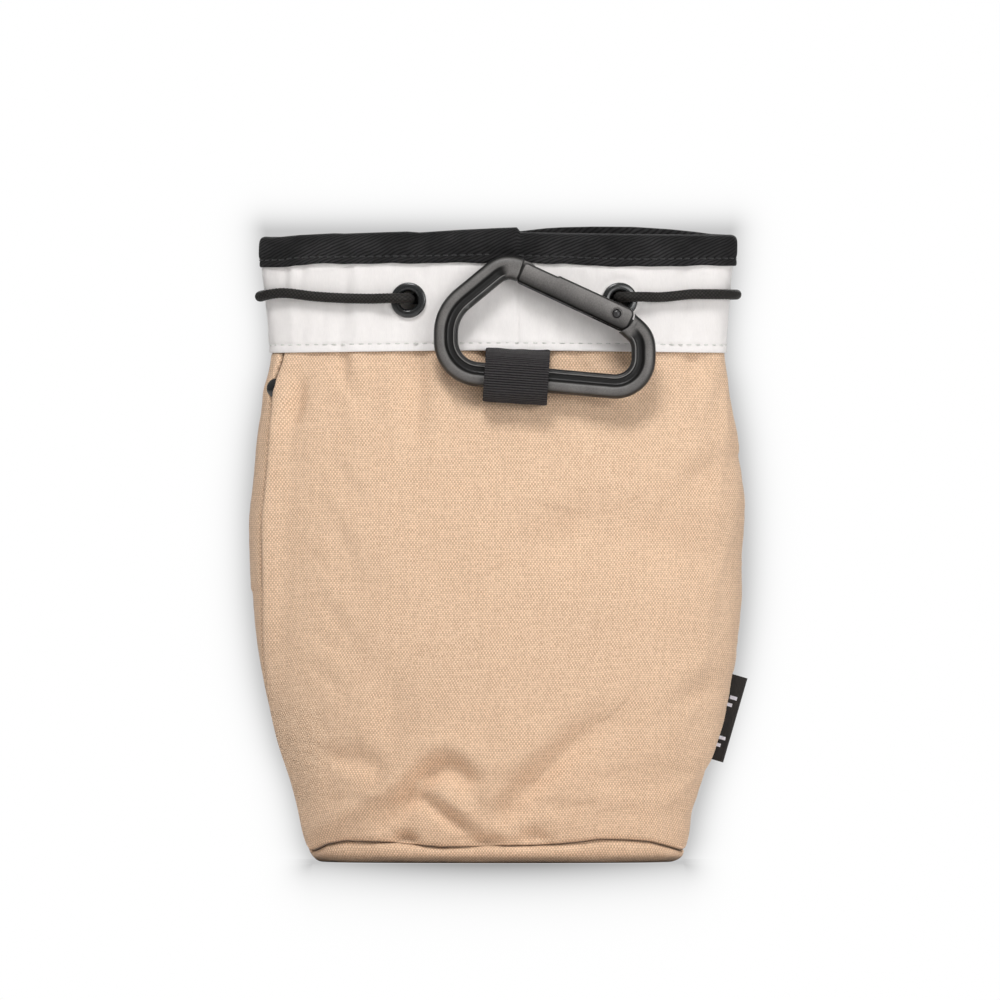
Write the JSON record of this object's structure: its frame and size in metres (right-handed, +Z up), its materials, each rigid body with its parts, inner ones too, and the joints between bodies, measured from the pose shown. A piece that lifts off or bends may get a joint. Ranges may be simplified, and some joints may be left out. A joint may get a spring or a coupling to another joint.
{
  "type": "treat pouch",
  "caption": "Soft fabric treat pouch with an oval base, drawcord collar, cord lock and a swinging carabiner on a webbing loop.",
  "frame": {"origin": "centre of the base's flat underside, on the ground", "axes": "+Z up through the mouth; +X to the right across the pouch's width as seen from the carabiner side; the carabiner side faces -Y"},
  "size_m": [0.1549, 0.063, 0.197],
  "materials": {
    "sand_canvas": "plain-weave canvas, matte, warm sand",
    "white_band": "smooth plain-weave fabric, off-white",
    "black_tape": "folded twill binding tape, black",
    "black_webbing": "ribbed grosgrain webbing, black",
    "pale_lining": "coated lining cloth, pale grey",
    "black_cord": "round braided cord, black",
    "black_label": "folded woven label, black, no lettering",
    "black_metal": "gloss black lacquer",
    "carabiner_metal": "satin black anodised",
    "gate_metal": "satin dark grey anodised",
    "black_plastic": "matte black moulded plastic",
    "spring_steel": "bright drawn wire"
  },
  "bodies": {
    "pouch": {"front_panel": "sand_canvas", "back_panel": "sand_canvas", "base_panel": "sand_canvas", "lining": "pale_lining", "collar_band": "white_band", "rim_binding": "black_tape", "eyelet_left": "black_metal", "eyelet_right": "black_metal", "eyelet_washer_left": "black_metal", "eyelet_washer_right": "black_metal", "drawcord": "black_cord", "cord_end": "black_plastic", "side_label": "black_label", "side_rivet_cap": "black_metal", "side_rivet_post": "black_metal"},
    "strap_loop": {"webbing_loop": "black_webbing"},
    "carabiner": {"carabiner_frame": "carabiner_metal"},
    "gate": {"carabiner_gate": "gate_metal", "gate_pin": "gate_metal", "gate_spring": "spring_steel"},
    "follower": {"gate_follower": "spring_steel"},
    "cord_lock": {"cord_lock_barrel": "black_plastic", "cord_lock_spring": "spring_steel"},
    "lock_button": {"cord_lock_button": "black_plastic"}
  },
  "joints": [
    {"name": "carabiner_swing", "type": "hinge", "parent": "strap_loop", "child": "carabiner", "pos_m": [0.0057, -0.0239, 0.1512], "axis": [0.996, 0, -0.0889], "range_deg": [0, 185]},
    {"name": "loop_swing", "type": "hinge", "parent": "pouch", "child": "strap_loop", "pos_m": [0.0057, -0.0191, 0.1584], "axis": [-0.9983, 0, 0.0576], "range_deg": [0, 19]},
    {"name": "gate_open", "type": "hinge", "parent": "carabiner", "child": "gate", "pos_m": [0.03689, -0.02156, 0.17078], "axis": [0.0093, -0.9945, 0.1041], "range_deg": [0, 27]},
    {"name": "follower_slide", "type": "slide", "parent": "gate", "child": "follower", "axis": [-0.9079, 0.0352, 0.4176], "range_m": [0, 0.0013], "deforming": ["gate_spring"]},
    {"name": "cord_lock_slide", "type": "slide", "parent": "pouch", "child": "cord_lock", "axis": [0, 0.1676, -0.9859], "range_m": [0, 0.024]},
    {"name": "lock_button_press", "type": "slide", "parent": "cord_lock", "child": "lock_button", "axis": [-1, 0, 0], "range_m": [0, 0.003], "stiffness_N_per_m": 300, "deforming": ["cord_lock_spring"]}
  ],
  "couplings": [
    {"joint": "loop_swing", "follows": "carabiner_swing", "ratio": 0.1},
    {"joint": "follower_slide", "follows": "gate_open", "m_per_rad": 0.0025}
  ]
}
